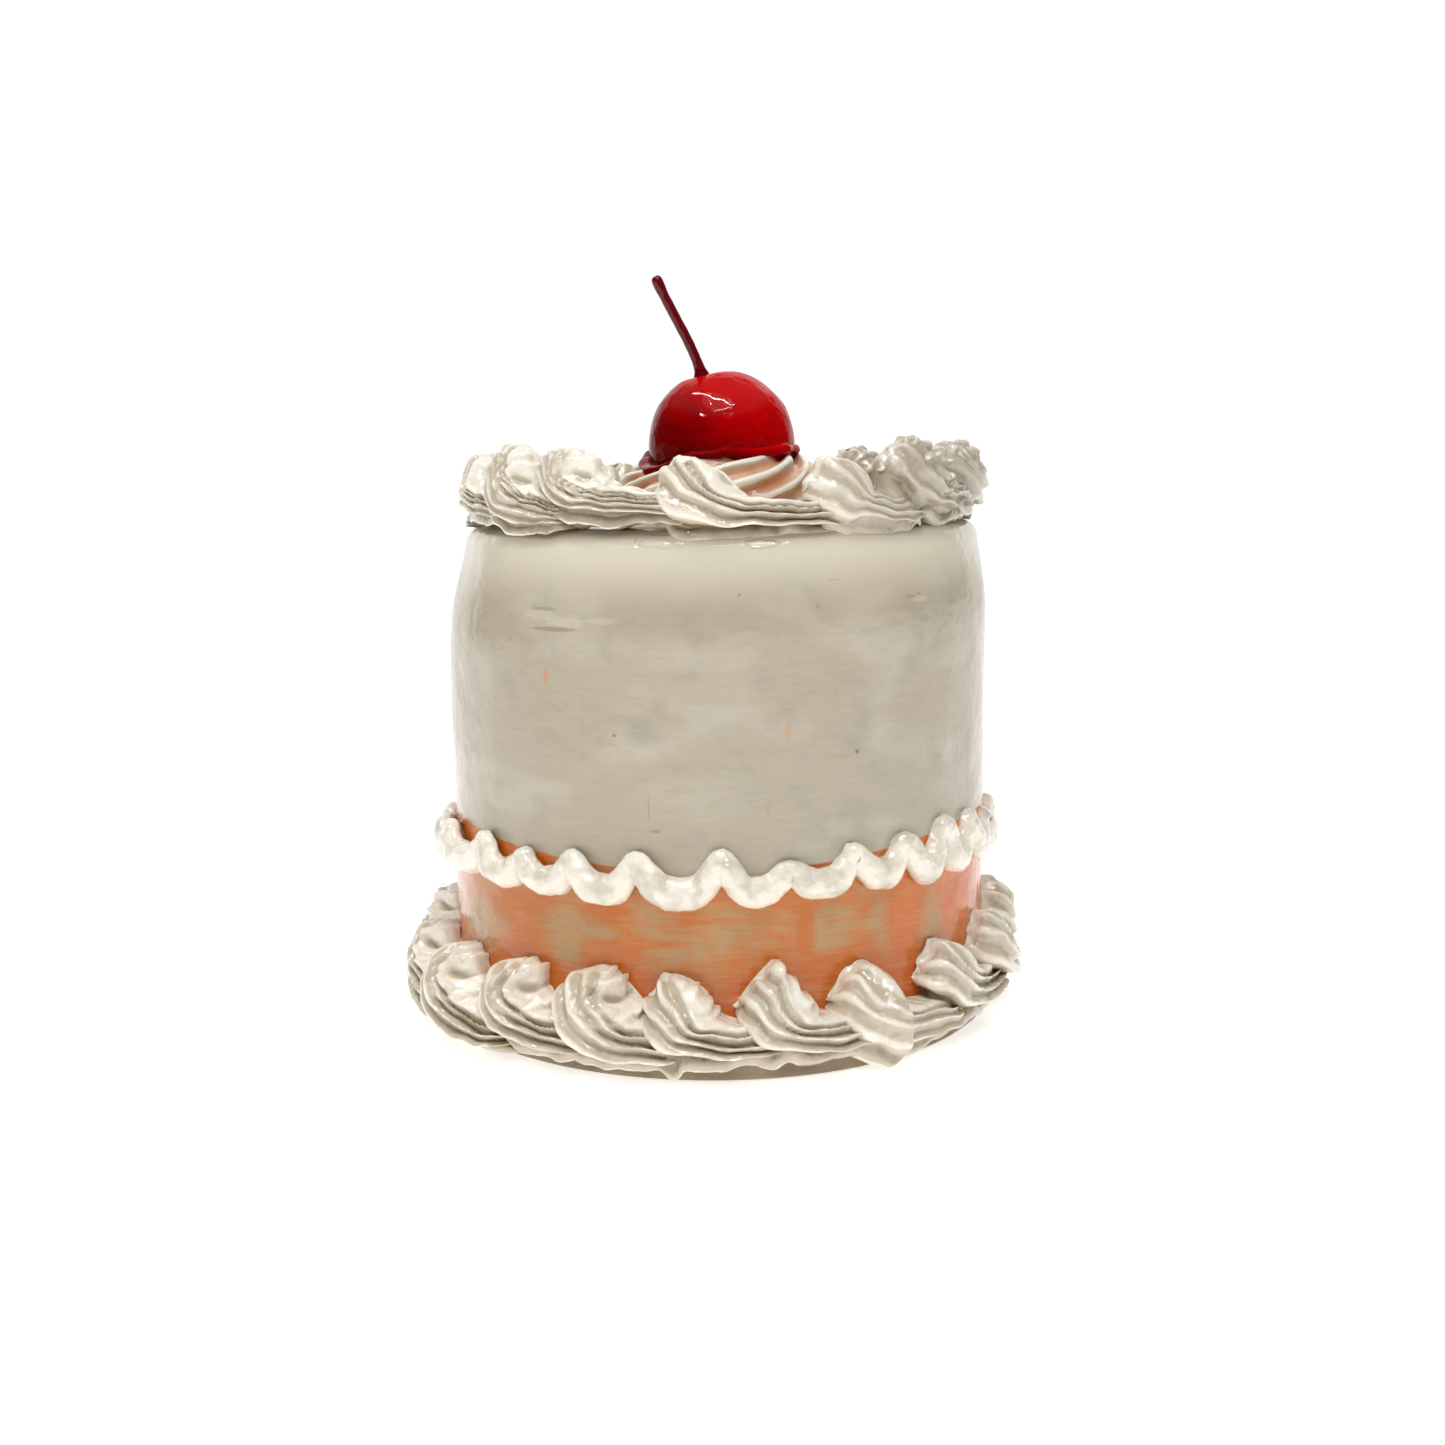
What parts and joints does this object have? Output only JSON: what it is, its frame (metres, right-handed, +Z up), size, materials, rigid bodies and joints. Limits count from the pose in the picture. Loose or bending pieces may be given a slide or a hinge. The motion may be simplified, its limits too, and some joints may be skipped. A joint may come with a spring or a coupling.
{
  "type": "cherry-topped striped ceramic cake",
  "caption": "Small round cake sculpted in glazed clay, with a coral foot band, a wavy rope, piped strokes round foot and rim, and a cherry with its stem in a piped nest.",
  "frame": {"origin": "middle of the slab's flat underside, which stands on Z = 0", "axes": "+Z up through the middle of the cake, the side that the picture shows faces -Y, and the stem leans towards -X"},
  "size_m": [0.1195, 0.1203, 0.1368],
  "materials": {
    "clay": "bare fired clay, matt",
    "coral": "brushed coral underglaze under a clear gloss",
    "cream": "warm off-white gloss glaze",
    "piping": "cream gloss glaze, darker where it pools",
    "peach": "peach and cream gloss glaze",
    "cherry": "deep red high-gloss glaze",
    "stem": "dark red gloss glaze"
  },
  "bodies": {
    "root": {"base_slab": "clay", "lower_layer": "coral", "upper_layer": "cream", "wave_rope": "piping", "foot_stroke_01": "piping", "foot_stroke_02": "piping", "foot_stroke_03": "piping", "foot_stroke_04": "piping", "foot_stroke_05": "piping", "foot_stroke_06": "piping", "foot_stroke_07": "piping", "foot_stroke_08": "piping", "foot_stroke_09": "piping", "foot_stroke_10": "piping", "foot_stroke_11": "piping", "foot_stroke_12": "piping", "foot_stroke_13": "piping", "foot_stroke_14": "piping", "foot_stroke_15": "piping", "foot_stroke_16": "piping", "foot_stroke_17": "piping", "foot_stroke_18": "piping", "foot_stroke_19": "piping", "rim_stroke_01": "piping", "rim_stroke_02": "piping", "rim_stroke_03": "piping", "rim_stroke_04": "piping", "rim_stroke_05": "piping", "rim_stroke_06": "piping", "rim_stroke_07": "piping", "rim_stroke_08": "piping", "rim_stroke_09": "piping", "rim_stroke_10": "piping", "rim_stroke_11": "piping", "rim_stroke_12": "piping", "rim_stroke_13": "piping", "rim_stroke_14": "piping", "rim_stroke_15": "piping", "nest": "peach", "cherry": "cherry", "cherry_stem": "stem"}
  },
  "joints": []
}
